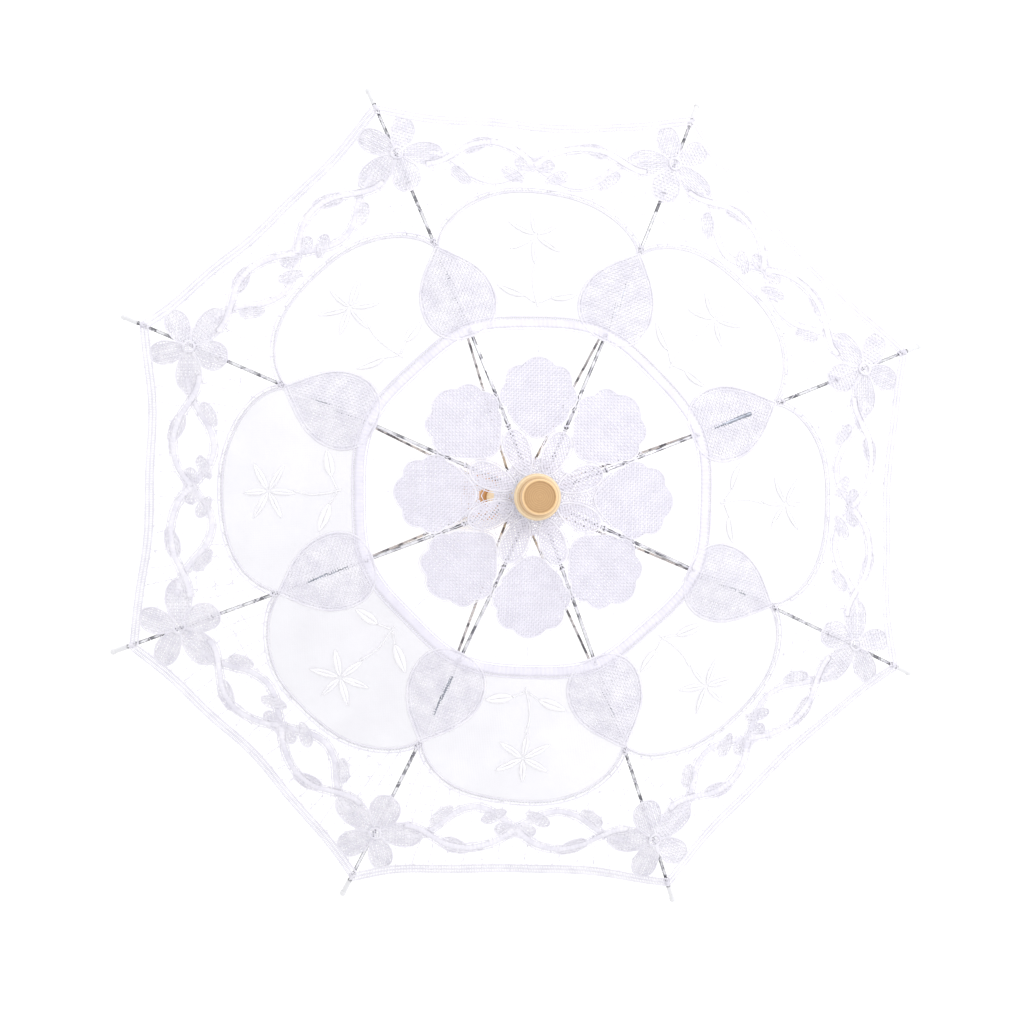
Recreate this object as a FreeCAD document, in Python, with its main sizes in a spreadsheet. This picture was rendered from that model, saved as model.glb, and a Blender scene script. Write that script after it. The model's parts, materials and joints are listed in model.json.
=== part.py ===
import FreeCAD, Part
import math
import os
import Sketcher

# A small lace parasol, open. Millimetres, +Z up, origin at the centre of the handle's bottom end.
# The ribs stand at 22.5 degrees and every 45 degrees from there, so X and Y run along the middles of gores.
# Pieces that repeat are drawn once in the rib's own plane, which is XZ with the rib towards +X, and are then
# turned about Z to their eight places.

DRIVING = (
    # the whole
    ("rib_count", 8),
    ("first_rib_angle", 22.5),
    # the shaft, a turned stick with a tenon for the notch and the finial
    ("shaft_radius", 4),
    ("shaft_foot", 34.3),
    ("shoulder_height", 295.5),
    ("tenon_radius", 3),
    ("tenon_top", 312.6),
    ("seat_gap", 0.03),
    ("cross_hole_length", 30),
    # the handle, with a straight band at its end
    ("band_radius", 13),
    ("band_height", 9),
    ("shoulder_bend", 9),
    ("cove_radius", 6.6),
    ("cove_low", 17.5),
    ("cove_high", 23),
    ("cove_bend", 5),
    ("bead_bend", 1.9),
    ("bead_height", 3),
    ("swell_low", 27),
    ("swell_high", 67.5),
    ("swell_bend", 85),
    ("swell_end_radius", 6.2),
    ("handle_top", 73),
    ("handle_mouth", 5.4),
    ("handle_floor", 34),
    ("handle_pin_height", 61),
    ("handle_pin_radius", 0.75),
    ("handle_pin_length", 13.4),
    # the finial, a flange, a groove and a head with a raised rim
    ("finial_foot", 306),
    ("finial_foot_radius", 8.2),
    ("flange_radius", 9.5),
    ("flange_low", 307.4),
    ("flange_high", 311),
    ("flange_bend", 2.6),
    ("groove_radius", 6.6),
    ("groove_low", 313.4),
    ("groove_high", 315),
    ("head_radius", 7.9),
    ("head_low", 316),
    ("head_high", 319.4),
    ("head_bend", 1.6),
    ("finial_top", 320),
    ("rim_outer", 7.4),
    ("rim_inner", 6.9),
    ("dish_height", 319.5),
    ("finial_floor", 313),
    # the notch, the slotted crown that holds the ribs' eyes on a wire
    ("notch_radius", 8),
    ("notch_height", 302),
    ("notch_rim", 9.5),
    ("notch_top", 305.2),
    ("notch_slot_top", 303.9),
    ("notch_pin_height", 297.8),
    ("notch_pin_radius", 0.6),
    ("slot_width", 2.2),
    ("slot_floor", 6.2),
    ("wire_radius", 0.6),
    ("wire_groove", 0.7),
    # the runner, with the stretchers' crown at its top
    ("runner_height", 207),
    ("runner_bore", 4.1),
    ("sleeve_radius", 5.5),
    ("crown_radius", 10.5),
    ("crown_half_height", 3.5),
    ("runner_drop", 26),
    ("thumb_ring_radius", 7),
    ("thumb_ring_height", 3),
    ("stop_pin_rise", 4.6),
    ("stop_pin_radius", 0.8),
    ("stop_pin_length", 12),
    # the spring catches in their slots
    ("slot_depth", 10.5),
    ("catch_slot_width", 2.2),
    ("catch_slot_height", 16),
    ("catch_slot_depth", 6.4),
    ("catch_width", 1.4),
    ("catch_height", 14.4),
    ("catch_root_inside", 0.5),
    ("catch_root_outside", 3.4),
    ("catch_tip_inside", 2),
    ("catch_land", 1.8),
    ("catch_reach", 5.8),
    ("catch_gap", 0.3),
    ("closed_runner_height", 101.67),
    # the ribs, bent to one arc from the notch to the tips
    ("rib_bend", 422.5),
    ("start_slope", 7),
    ("rib_sweep", 27.6),
    ("rib_radius", 0.75),
    ("eye_radius", 1.5),
    ("eye_width", 1.2),
    ("eye_bore", 0.65),
    # the clips that join ribs and stretchers
    ("clip_slope", 19.2),
    ("clip_half_sweep", 1.36),
    ("clip_radius", 1.3),
    ("clip_bore", 0.8),
    ("clip_drop", 3),
    ("ear_start", 0.5),
    ("ear_inner", 0.8),
    ("ear_thickness", 0.5),
    ("ear_length", 3.6),
    ("ear_height", 4),
    ("rivet_radius", 0.5),
    ("rivet_bore", 0.52),
    ("rivet_head_radius", 1),
    ("rivet_head_height", 0.4),
    # the stretchers, flat strips that rest against the runner's wire
    ("stretcher_width", 1.8),
    ("stretcher_thickness", 1),
    ("stretcher_eye", 1.3),
    ("stretcher_bore", 0.55),
    ("seat_offset", 1.8),
    ("seat_overrun", 2),
    # the ferrules on the ribs' ends
    ("ferrule_slope", 33.8),
    ("ferrule_length", 10.2),
    ("ferrule_radius", 1.15),
    ("ferrule_knob", 1.4),
    ("ferrule_neck", 1),
    ("ferrule_bore", 0.85),
    ("ferrule_depth", 6.8),
    ("knob_length", 2.8),
    # the canopy, one thin panel over each rib
    ("canopy_lift", 1.45),
    ("canopy_thickness", 0.8),
    ("canopy_start_slope", 7.62),
    ("canopy_sweep", 26.1),
    ("canopy_reach", 90),
    ("canopy_gap", 0.15),
    ("canopy_span", 230),
    ("canopy_keep_height", 520),
)

FULL_TURN = 360
SINK_TOLERANCE = 1e-6
X_AXIS = FreeCAD.Vector(1, 0, 0)
Y_AXIS = FreeCAD.Vector(0, 1, 0)
Z_AXIS = FreeCAD.Vector(0, 0, 1)

doc = FreeCAD.newDocument("lace_parasol")
dims = doc.addObject("Spreadsheet::Sheet", "dims")
nodes = []


def fill_sheet():
    for row, (alias, value) in enumerate(DRIVING, start=1):
        dims.set(f"A{row}", alias)
        dims.set(f"B{row}", str(value))
        dims.setAlias(f"B{row}", alias)
    doc.recompute()


# Expressions that several pieces share, in the rib's own plane.
BEND_X = "(dims.notch_radius - dims.rib_bend * sin(dims.start_slope))"
BEND_Z = "(dims.notch_height - dims.rib_bend * cos(dims.start_slope))"
CLIP_X = f"({BEND_X} + (dims.rib_bend - dims.clip_drop) * sin(dims.clip_slope))"
CLIP_Z = f"({BEND_Z} + (dims.rib_bend - dims.clip_drop) * cos(dims.clip_slope))"
SPAN_X = f"({CLIP_X} - dims.notch_radius)"
SPAN_Z = f"({CLIP_Z} - dims.runner_height)"
STRETCHER_SPAN = f"hypot({SPAN_X}; {SPAN_Z})"
STRETCHER_TURN = f"(90 deg + atan2({SPAN_X}; {SPAN_Z}) - atan(dims.seat_offset / {STRETCHER_SPAN}))"
RUNNER_FOOT = "(dims.runner_height - dims.runner_drop)"
RUNNER_TOP = "(dims.runner_height + dims.crown_half_height)"
CLOSED_TOP = "(dims.closed_runner_height + dims.crown_half_height)"
HALF_GORE = "(180 / dims.rib_count)"


def bind(piece, **expressions):
    """Bind properties to the sheet. A double underscore in a name stands for the dot of a sub-property."""
    for name, text in expressions.items():
        piece.setExpression(name.replace("__", "."), text)


def place(piece, x="0", y="0", z="0", axis=None, turn=None):
    """Bind a piece's place, and its turn about one axis."""
    if axis is not None:
        piece.Placement = FreeCAD.Placement(FreeCAD.Vector(), FreeCAD.Rotation(axis, 1))
        piece.setExpression("Placement.Rotation.Angle", turn)
    for side, text in (("x", x), ("y", y), ("z", z)):
        if text != "0":
            piece.setExpression(f"Placement.Base.{side}", text)


def solid(kind, name, **expressions):
    piece = doc.addObject(f"Part::{kind}", name)
    bind(piece, **expressions)
    return piece


def cut(name, base, *tools):
    if len(tools) > 1:
        tools = (joined(f"{name}_cutters", *tools),)
    piece = doc.addObject("Part::Cut", name)
    piece.Base = base
    piece.Tool = tools[0]
    return piece


def joined(name, *pieces):
    piece = doc.addObject("Part::MultiFuse", name)
    piece.Shapes = list(pieces)
    return piece


def cross_rod(name, radius, length, x, z):
    """A cylinder along Y, centred on the plane y = 0."""
    rod = solid("Cylinder", name, Radius=radius, Height=length)
    place(rod, x=x, y=f"{length} / 2", z=z, axis=X_AXIS, turn="90")
    return rod


def origin_feature(body, role):
    return next(item for item in body.Origin.OriginFeatures if item.Role == role)


def new_sketch(body, name, plane):
    sketch = body.newObject("Sketcher::SketchObject", name)
    sketch.AttachmentSupport = (origin_feature(body, plane), [""])
    sketch.MapMode = "FlatFace"
    return sketch


def number(text):
    value = dims.evalExpression(text)
    return float(getattr(value, "Value", value))


def arc_centre(start, end, radius, side):
    middle = (start + end) / 2
    along = (end - start).normalize()
    left = FreeCAD.Vector(-along.y, along.x, 0)
    reach = math.sqrt(radius**2 - (end - start).Length ** 2 / 4)
    return middle + left * reach * side


def add_edge(sketch, start, end, bend):
    """Add one edge of an outline. Returns its index and the numbers of its first and last points."""
    if bend is None:
        return sketch.addGeometry(Part.LineSegment(start, end)), 1, 2
    way, radius_text = bend
    radius = number(radius_text)
    side = 1 if way == "round" else -1
    centre = arc_centre(start, end, radius, side)
    angles = [math.atan2(point.y - centre.y, point.x - centre.x) for point in (start, end)]
    if side < 0:
        angles.reverse()
    circle = Part.Circle(centre, Z_AXIS, radius)
    index = sketch.addGeometry(Part.ArcOfCircle(circle, angles[0], angles[1]))
    hold = sketch.addConstraint(Sketcher.Constraint("Radius", index, radius))
    sketch.setExpression(f"Constraints[{hold}]", radius_text)
    return (index, 1, 2) if side > 0 else (index, 2, 1)


def pin_point(sketch, edge, point, text, direction):
    """Hold one point's distance from the origin along X or Y with an expression."""
    value = number(text)
    if abs(value) < SINK_TOLERANCE:
        axis = -2 if direction == "DistanceX" else -1
        sketch.addConstraint(Sketcher.Constraint("PointOnObject", edge, point, axis))
        return
    if value < 0:
        hold = sketch.addConstraint(Sketcher.Constraint(direction, edge, point, -1, 1, -value))
        sketch.setExpression(f"Constraints[{hold}]", f"-({text})")
        return
    hold = sketch.addConstraint(Sketcher.Constraint(direction, -1, 1, edge, point, value))
    sketch.setExpression(f"Constraints[{hold}]", text)


def draw_outline(sketch, corners):
    """A closed outline, anticlockwise. Each corner is (x, y) or (x, y, bend) with the bend of the edge after it."""
    points = [FreeCAD.Vector(number(corner[0]), number(corner[1]), 0) for corner in corners]
    edges = []
    for place_in_list, corner in enumerate(corners):
        after = points[(place_in_list + 1) % len(points)]
        bend = corner[2] if len(corner) > 2 else None
        edges.append(add_edge(sketch, points[place_in_list], after, bend))
    for place_in_list, (edge, first, _) in enumerate(edges):
        before, _, last = edges[place_in_list - 1]
        sketch.addConstraint(Sketcher.Constraint("Coincident", before, last, edge, first))
        pin_point(sketch, edge, first, corners[place_in_list][0], "DistanceX")
        pin_point(sketch, edge, first, corners[place_in_list][1], "DistanceY")


def turned(name, corners):
    """A PartDesign body turned about Z from an outline of radii and heights."""
    body = doc.addObject("PartDesign::Body", name)
    sketch = new_sketch(body, f"{name}_outline", "XZ_Plane")
    draw_outline(sketch, corners)
    turning = body.newObject("PartDesign::Revolution", f"{name}_turning")
    turning.Profile = sketch
    turning.ReferenceAxis = (sketch, ["V_Axis"])
    turning.Angle = FULL_TURN
    return body


def rim_slots(body, name, top, depth):
    """Cut one radial slot per rib down through the rim of a turned body."""
    sketch = new_sketch(body, f"{name}_slot_outline", "XY_Plane")
    draw_outline(sketch, (
        ("dims.slot_floor", "-dims.slot_width / 2"),
        ("dims.slot_floor + dims.crown_radius", "-dims.slot_width / 2"),
        ("dims.slot_floor + dims.crown_radius", "dims.slot_width / 2"),
        ("dims.slot_floor", "dims.slot_width / 2"),
    ))
    turned_offset = FreeCAD.Placement(FreeCAD.Vector(), FreeCAD.Rotation(Z_AXIS, 1))
    sketch.AttachmentOffset = turned_offset
    sketch.setExpression("AttachmentOffset.Base.z", top)
    sketch.setExpression("AttachmentOffset.Rotation.Angle", "dims.first_rib_angle")
    pocket = body.newObject("PartDesign::Pocket", f"{name}_slot")
    pocket.Profile = sketch
    pocket.setExpression("Length", depth)
    pattern = body.newObject("PartDesign::PolarPattern", f"{name}_slots")
    pattern.Originals = [pocket]
    pattern.Axis = (origin_feature(body, "Z_Axis"), [""])
    pattern.Angle = FULL_TURN
    bind(pattern, Occurrences="dims.rib_count")
    body.Tip = pattern


def as_node(piece, name):
    piece.Label = name
    nodes.append(piece)


def ring_of(master, name):
    """Eight copies of a piece drawn in the rib's plane, each turned to its own rib."""
    count = int(number("dims.rib_count"))
    for place_in_ring in range(count):
        copy = doc.addObject("Part::Compound", f"{name}_copy_{place_in_ring + 1}")
        copy.Links = [master]
        turn = f"dims.first_rib_angle + {place_in_ring} * 360 / dims.rib_count"
        place(copy, axis=Z_AXIS, turn=turn)
        as_node(copy, f"{name}_{place_in_ring + 1}")


def catch_slot(name, z):
    slot = solid(
        "Box", name,
        Length="2 * dims.shaft_radius", Width="dims.catch_slot_width", Height="dims.catch_slot_height",
    )
    place(slot, x="dims.shaft_radius - dims.catch_slot_depth", y="-dims.catch_slot_width / 2", z=z)
    return slot


def make_shaft():
    stick = turned("shaft_stick", (
        ("0", "dims.shaft_foot"),
        ("dims.shaft_radius", "dims.shaft_foot"),
        ("dims.shaft_radius", "dims.shoulder_height"),
        ("dims.tenon_radius", "dims.shoulder_height"),
        ("dims.tenon_radius", "dims.tenon_top"),
        ("0", "dims.tenon_top"),
    ))
    bores = (
        ("handle_pin_hole", "dims.handle_pin_radius + dims.seat_gap", "dims.handle_pin_height"),
        ("stop_pin_hole", "dims.stop_pin_radius + dims.seat_gap", "dims.runner_height + dims.stop_pin_rise"),
        ("notch_pin_hole", "dims.notch_pin_radius + dims.seat_gap", "dims.notch_pin_height"),
    )
    holes = [cross_rod(name, radius, "dims.cross_hole_length", "0", z) for name, radius, z in bores]
    top_slot = catch_slot("top_slot", f"{RUNNER_FOOT} - dims.catch_slot_height + dims.catch_gap")
    bottom_slot = catch_slot("bottom_slot", CLOSED_TOP)
    as_node(cut("shaft_body", stick, *holes, top_slot, bottom_slot), "shaft")


def make_handle():
    grip = turned("handle_turned", (
        ("0", "0"),
        ("dims.band_radius", "0"),
        ("dims.band_radius", "dims.band_height", ("round", "dims.shoulder_bend")),
        ("dims.cove_radius", "dims.cove_low", ("hollow", "dims.cove_bend")),
        ("dims.cove_radius", "dims.cove_high", ("round", "dims.bead_bend")),
        ("dims.cove_radius", "dims.cove_high + dims.bead_height"),
        ("dims.swell_end_radius", "dims.swell_low", ("round", "dims.swell_bend")),
        ("dims.swell_end_radius", "dims.swell_high"),
        ("dims.cove_radius", "dims.swell_high + 1", ("round", "dims.bead_bend")),
        ("dims.cove_radius", "dims.swell_high + 1 + dims.bead_height"),
        ("dims.handle_mouth", "dims.handle_top"),
        ("dims.shaft_radius + dims.seat_gap", "dims.handle_top"),
        ("dims.shaft_radius + dims.seat_gap", "dims.handle_floor"),
        ("0", "dims.handle_floor"),
    ))
    hole = cross_rod(
        "handle_hole", "dims.handle_pin_radius + dims.seat_gap", "2 * dims.band_radius",
        "0", "dims.handle_pin_height",
    )
    as_node(cut("handle_body", grip, hole), "handle")
    pin = cross_rod(
        "handle_pin_rod", "dims.handle_pin_radius", "dims.handle_pin_length", "0", "dims.handle_pin_height"
    )
    as_node(pin, "handle_pin")


def make_finial():
    body = turned("finial_turned", (
        ("dims.tenon_radius + dims.seat_gap", "dims.finial_foot"),
        ("dims.finial_foot_radius", "dims.finial_foot"),
        ("dims.flange_radius", "dims.flange_low", ("round", "dims.flange_bend")),
        ("dims.flange_radius", "dims.flange_high"),
        ("dims.groove_radius", "dims.groove_low"),
        ("dims.groove_radius", "dims.groove_high", ("hollow", "dims.head_bend")),
        ("dims.head_radius", "dims.head_low"),
        ("dims.head_radius", "dims.head_high"),
        ("dims.rim_outer", "dims.finial_top"),
        ("dims.rim_inner", "dims.finial_top"),
        ("dims.rim_inner", "dims.dish_height"),
        ("0", "dims.dish_height"),
        ("0", "dims.finial_floor"),
        ("dims.tenon_radius + dims.seat_gap", "dims.finial_floor"),
    ))
    as_node(body, "finial")


def wire_ring(name, height):
    """The wire that ribs or stretchers hang on, a ring about the shaft."""
    ring = solid("Torus", f"{name}_ring", Radius1="dims.notch_radius", Radius2="dims.wire_radius")
    place(ring, z=height)
    as_node(ring, name)


def make_notch():
    body = turned("notch_turned", (
        ("dims.tenon_radius + dims.seat_gap", "dims.shoulder_height"),
        ("dims.notch_rim", "dims.shoulder_height"),
        ("dims.notch_rim", "dims.notch_height - dims.wire_groove"),
        ("dims.notch_radius - dims.wire_radius", "dims.notch_height - dims.wire_groove"),
        ("dims.notch_radius - dims.wire_radius", "dims.notch_height + dims.wire_groove"),
        ("dims.notch_rim", "dims.notch_height + dims.wire_groove"),
        ("dims.notch_rim", "dims.notch_top"),
        ("dims.tenon_radius + dims.seat_gap", "dims.notch_top"),
    ))
    rim_slots(body, "notch", "dims.notch_slot_top", "dims.notch_top - dims.shoulder_height")
    hole = cross_rod(
        "notch_hole", "dims.notch_pin_radius + dims.seat_gap", "dims.cross_hole_length",
        "0", "dims.notch_pin_height",
    )
    as_node(cut("notch_body", body, hole), "top_notch")
    pin = cross_rod(
        "notch_pin_rod", "dims.notch_pin_radius", "2 * dims.notch_rim", "0", "dims.notch_pin_height"
    )
    as_node(pin, "notch_pin")
    wire_ring("notch_wire", "dims.notch_height")


def make_runner():
    crown_low = "dims.runner_height - dims.crown_half_height"
    ring_top = f"{RUNNER_FOOT} + dims.thumb_ring_height"
    body = turned("runner_turned", (
        ("dims.runner_bore", RUNNER_FOOT),
        ("dims.thumb_ring_radius", RUNNER_FOOT),
        ("dims.thumb_ring_radius", ring_top),
        ("dims.sleeve_radius", ring_top),
        ("dims.sleeve_radius", crown_low),
        ("dims.crown_radius", crown_low),
        ("dims.crown_radius", "dims.runner_height - dims.wire_groove"),
        ("dims.notch_radius - dims.wire_radius", "dims.runner_height - dims.wire_groove"),
        ("dims.notch_radius - dims.wire_radius", "dims.runner_height + dims.wire_groove"),
        ("dims.crown_radius", "dims.runner_height + dims.wire_groove"),
        ("dims.crown_radius", RUNNER_TOP),
        ("dims.runner_bore", RUNNER_TOP),
    ))
    rim_slots(body, "runner", RUNNER_TOP, "dims.slot_depth")
    as_node(body, "runner")
    wire_ring("runner_wire", "dims.runner_height")
    pin = cross_rod(
        "stop_pin_rod", "dims.stop_pin_radius", "dims.stop_pin_length",
        "0", "dims.runner_height + dims.stop_pin_rise",
    )
    as_node(pin, "stop_pin")


def catch(name, face, way):
    """A bent leaf catch. face is the height of its flat end, and way is +1 if the leaf hangs below that, else -1."""
    body = doc.addObject("PartDesign::Body", f"{name}_leaf")
    sketch = new_sketch(body, f"{name}_outline", "XZ_Plane")
    root = f"{face} - {way} * dims.catch_height"
    land = f"{face} - {way} * dims.catch_land"
    corners = [
        ("dims.catch_root_inside", root),
        ("dims.catch_root_outside", root),
        ("dims.catch_reach", land),
        ("dims.catch_reach", face),
        ("dims.catch_tip_inside", face),
        ("dims.catch_tip_inside", land),
    ]
    if way < 0:
        corners.reverse()
    draw_outline(sketch, corners)
    pad = body.newObject("PartDesign::Pad", f"{name}_pad")
    pad.Profile = sketch
    pad.SideType = "Symmetric"
    bind(pad, Length="dims.catch_width")
    as_node(body, name)


def make_catches():
    catch("top_spring", f"({RUNNER_FOOT} - dims.catch_gap)", 1)
    catch("bottom_spring", f"({CLOSED_TOP} + dims.catch_gap)", -1)


def bent_rod(name, radius, start, sweep):
    """A round rod along the rib's arc, from one slope and over a sweep."""
    section = solid("Circle", f"{name}_section", Radius=radius)
    place(
        section,
        x=f"{BEND_X} + dims.rib_bend * sin({start})",
        z=f"{BEND_Z} + dims.rib_bend * cos({start})",
        axis=Y_AXIS, turn=f"90 + {start}",
    )
    return swept(name, section, sweep, as_solid=True)


def swept(name, section, sweep, as_solid):
    """Turn a section about the centre of the rib's arc."""
    sweeping = doc.addObject("Part::Revolution", name)
    sweeping.Source = section
    sweeping.Axis = Y_AXIS
    sweeping.Solid = as_solid
    bind(sweeping, Base__x=BEND_X, Base__z=BEND_Z, Angle=sweep)
    return sweeping


def make_ribs():
    wire = bent_rod("rib_wire", "dims.rib_radius", "dims.start_slope", "dims.rib_sweep")
    eye = cross_rod("rib_eye", "dims.eye_radius", "dims.eye_width", "dims.notch_radius", "dims.notch_height")
    bore = cross_rod(
        "rib_eye_bore", "dims.eye_bore", "2 * dims.slot_width", "dims.notch_radius", "dims.notch_height"
    )
    ring_of(cut("rib_master", joined("rib_blank", wire, eye), bore), "rib")


def make_clips():
    start = "(dims.clip_slope - dims.clip_half_sweep)"
    sweep = "2 * dims.clip_half_sweep"
    outside = bent_rod("clip_outside", "dims.clip_radius", start, sweep)
    inside = bent_rod("clip_inside", "dims.clip_bore", start, sweep)
    ears = []
    for side, near in (("left", "dims.ear_inner"), ("right", "-dims.ear_inner - dims.ear_thickness")):
        ear = solid(
            "Box", f"clip_ear_{side}",
            Length="dims.ear_length", Width="dims.ear_thickness", Height="dims.ear_height",
        )
        depth = "(dims.ear_start + dims.ear_height)"
        place(
            ear,
            x=(f"{BEND_X} + (dims.rib_bend - {depth}) * sin(dims.clip_slope)"
               " - dims.ear_length / 2 * cos(dims.clip_slope)"),
            y=near,
            z=(f"{BEND_Z} + (dims.rib_bend - {depth}) * cos(dims.clip_slope)"
               " + dims.ear_length / 2 * sin(dims.clip_slope)"),
            axis=Y_AXIS, turn="dims.clip_slope",
        )
        ears.append(ear)
    bore = cross_rod("clip_rivet_bore", "dims.rivet_bore", "4 * dims.clip_radius", CLIP_X, CLIP_Z)
    ring_of(cut("clip_master", joined("clip_blank", outside, *ears), inside, bore), "rib_clip")


def make_rivets():
    reach = "(dims.ear_inner + dims.ear_thickness + dims.rivet_head_height)"
    shank = cross_rod("rivet_shank", "dims.rivet_radius", f"2 * {reach}", CLIP_X, CLIP_Z)
    heads = []
    for side, near in (("left", reach), ("right", f"-({reach} - dims.rivet_head_height)")):
        head = solid("Cylinder", f"rivet_head_{side}", Radius="dims.rivet_head_radius", Height="dims.rivet_head_height")
        place(head, x=CLIP_X, y=near, z=CLIP_Z, axis=X_AXIS, turn="90")
        heads.append(head)
    ring_of(joined("rivet_master", shank, *heads), "rivet")


def make_stretchers():
    strip = solid(
        "Box", "stretcher_strip",
        Length=f"hypot({STRETCHER_SPAN}; dims.seat_offset) + dims.seat_overrun",
        Width="dims.stretcher_thickness", Height="dims.stretcher_width",
    )
    place(
        strip,
        x=f"{CLIP_X} - dims.stretcher_width / 2 * sin({STRETCHER_TURN})",
        y="-dims.stretcher_thickness / 2",
        z=f"{CLIP_Z} - dims.stretcher_width / 2 * cos({STRETCHER_TURN})",
        axis=Y_AXIS, turn=STRETCHER_TURN,
    )
    eye = cross_rod("stretcher_eye_disc", "dims.stretcher_eye", "dims.stretcher_thickness", CLIP_X, CLIP_Z)
    bore = cross_rod("stretcher_eye_bore", "dims.stretcher_bore", "2 * dims.slot_width", CLIP_X, CLIP_Z)
    ring_of(cut("stretcher_master", joined("stretcher_blank", strip, eye), bore), "stretcher")


def make_tips():
    knob_start = "dims.ferrule_length - dims.knob_length"
    body = turned("tip_turned", (
        ("dims.ferrule_bore", "0"),
        ("dims.ferrule_radius", "0"),
        ("dims.ferrule_radius", f"{knob_start} - dims.ferrule_neck"),
        ("dims.ferrule_neck", knob_start),
        ("dims.ferrule_knob", f"{knob_start} + dims.ferrule_neck / 2"),
        ("dims.ferrule_knob", "dims.ferrule_length - dims.ferrule_neck", ("round", "dims.ferrule_knob")),
        ("dims.ferrule_neck / 4", "dims.ferrule_length"),
        ("0", "dims.ferrule_length"),
        ("0", "dims.ferrule_depth"),
        ("dims.ferrule_bore", "dims.ferrule_depth"),
    ))
    place(
        body,
        x=f"{BEND_X} + dims.rib_bend * sin(dims.ferrule_slope)",
        z=f"{BEND_Z} + dims.rib_bend * cos(dims.ferrule_slope)",
        axis=Y_AXIS, turn="90 + dims.ferrule_slope",
    )
    ring_of(body, "tip")


def make_canopy():
    """One panel over each rib. Each half is level across its gore, so it is the rib's arc moved straight sideways."""
    lift = "(dims.rib_bend + dims.canopy_lift)"
    edge = solid("Line", "canopy_edge", Z2="dims.canopy_thickness")
    edge.X2 = 0
    edge.Y2 = 0
    place(
        edge,
        x=f"{BEND_X} + {lift} * sin(dims.canopy_start_slope)",
        z=f"{BEND_Z} + {lift} * cos(dims.canopy_start_slope)",
        axis=Y_AXIS, turn="dims.canopy_start_slope",
    )
    section = swept("canopy_section", edge, "dims.canopy_sweep", as_solid=False)
    half_gore = math.radians(number(HALF_GORE))
    band = doc.addObject("Part::Extrusion", "canopy_band")
    band.Base = section
    band.DirMode = "Custom"
    band.Dir = FreeCAD.Vector(-math.sin(half_gore), math.cos(half_gore), 0)
    band.Solid = True
    bind(band, LengthFwd="dims.canopy_reach")
    keep = solid("Box", "canopy_side", Length="dims.canopy_span", Width="2 * dims.canopy_reach")
    bind(keep, Height="dims.canopy_keep_height")
    place(
        keep,
        x=f"(2 * dims.canopy_reach + dims.canopy_gap) * sin({HALF_GORE})",
        y=f"-(2 * dims.canopy_reach + dims.canopy_gap) * cos({HALF_GORE})",
        axis=Z_AXIS, turn=HALF_GORE,
    )
    half = doc.addObject("Part::MultiCommon", "canopy_half")
    half.Shapes = [band, keep]
    other = doc.addObject("Part::Mirroring", "canopy_other_half")
    other.Source = half
    other.Normal = Y_AXIS
    ring_of(joined("canopy_master", half, other), "canopy")


def check_document():
    doc.recompute()
    for item in doc.Objects:
        if "Invalid" in item.State or "Error" in item.State:
            raise RuntimeError(f"{item.Label} failed: {item.State}")
    for node in nodes:
        shape = node.Shape
        if shape.isNull() or not shape.isValid() or not shape.Solids:
            raise RuntimeError(f"{node.Label} has no valid solid")


def export_nodes():
    os.makedirs("parts", exist_ok=True)
    for node in nodes:
        node.Shape.exportStep(f"parts/{node.Label}.step")


fill_sheet()
make_shaft()
make_handle()
make_finial()
make_notch()
make_runner()
make_catches()
make_ribs()
make_clips()
make_rivets()
make_stretchers()
make_tips()
make_canopy()
check_document()
export_nodes()
print(len(nodes), "nodes")
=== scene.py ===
import json
import math
import bpy
import bmesh
import numpy as np
from mathutils import Matrix, Vector
from mathutils.geometry import delaunay_2d_cdt


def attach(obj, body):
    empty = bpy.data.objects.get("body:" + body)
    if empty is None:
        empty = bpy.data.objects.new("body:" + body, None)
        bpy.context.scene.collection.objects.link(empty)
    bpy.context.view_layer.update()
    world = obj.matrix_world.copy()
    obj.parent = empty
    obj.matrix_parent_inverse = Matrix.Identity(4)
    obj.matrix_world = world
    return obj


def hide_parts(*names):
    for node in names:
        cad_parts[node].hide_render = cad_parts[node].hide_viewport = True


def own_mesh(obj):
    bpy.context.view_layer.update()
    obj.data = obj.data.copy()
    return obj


# The lace is drawn in millimetres on a plan wedge, 45 degrees wide, with its rib along +X. A point there
# is (x, y, height above the cloth). drape() lays the wedge over its own rib and gives its place in metres.

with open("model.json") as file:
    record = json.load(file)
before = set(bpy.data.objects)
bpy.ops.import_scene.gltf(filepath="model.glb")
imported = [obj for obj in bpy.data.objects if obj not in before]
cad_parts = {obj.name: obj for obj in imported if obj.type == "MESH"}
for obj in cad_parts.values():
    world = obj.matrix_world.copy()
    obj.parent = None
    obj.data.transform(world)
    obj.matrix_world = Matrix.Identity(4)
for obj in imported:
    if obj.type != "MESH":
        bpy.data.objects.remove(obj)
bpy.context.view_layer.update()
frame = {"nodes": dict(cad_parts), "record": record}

MM = 0.001
RIBS = 8
FIRST_RIB = math.radians(22.5)
HALF_GORE = math.pi / RIBS
FULL_TURN = 2 * math.pi

# A thread's marks rise by 1 over this length. Blender's wave texture turns 20 radians in a unit.
MARK_LENGTH = 10
WAVE_RATE = 20

# Each rib runs in one arc from its eye, on the notch's wire. The cloth lies just above it.
EYE_REACH = 8
EYE_HEIGHT = 302
EYE_SLOPE = math.radians(7)
BEND_RADIUS = 422.5
BEND_X = EYE_REACH - BEND_RADIUS * math.sin(EYE_SLOPE)
BEND_Z = EYE_HEIGHT - BEND_RADIUS * math.cos(EYE_SLOPE)
CLOTH_LIFT = 1.25

# The cloth sags between the ribs, and ripples in plan and in height, most at its edge.
SAG = 2.0
SAG_REACH = 190
SAG_RIPPLE = 0.9
PLAN_RIPPLE = 1.1
RIPPLE_WAVES = 5

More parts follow.
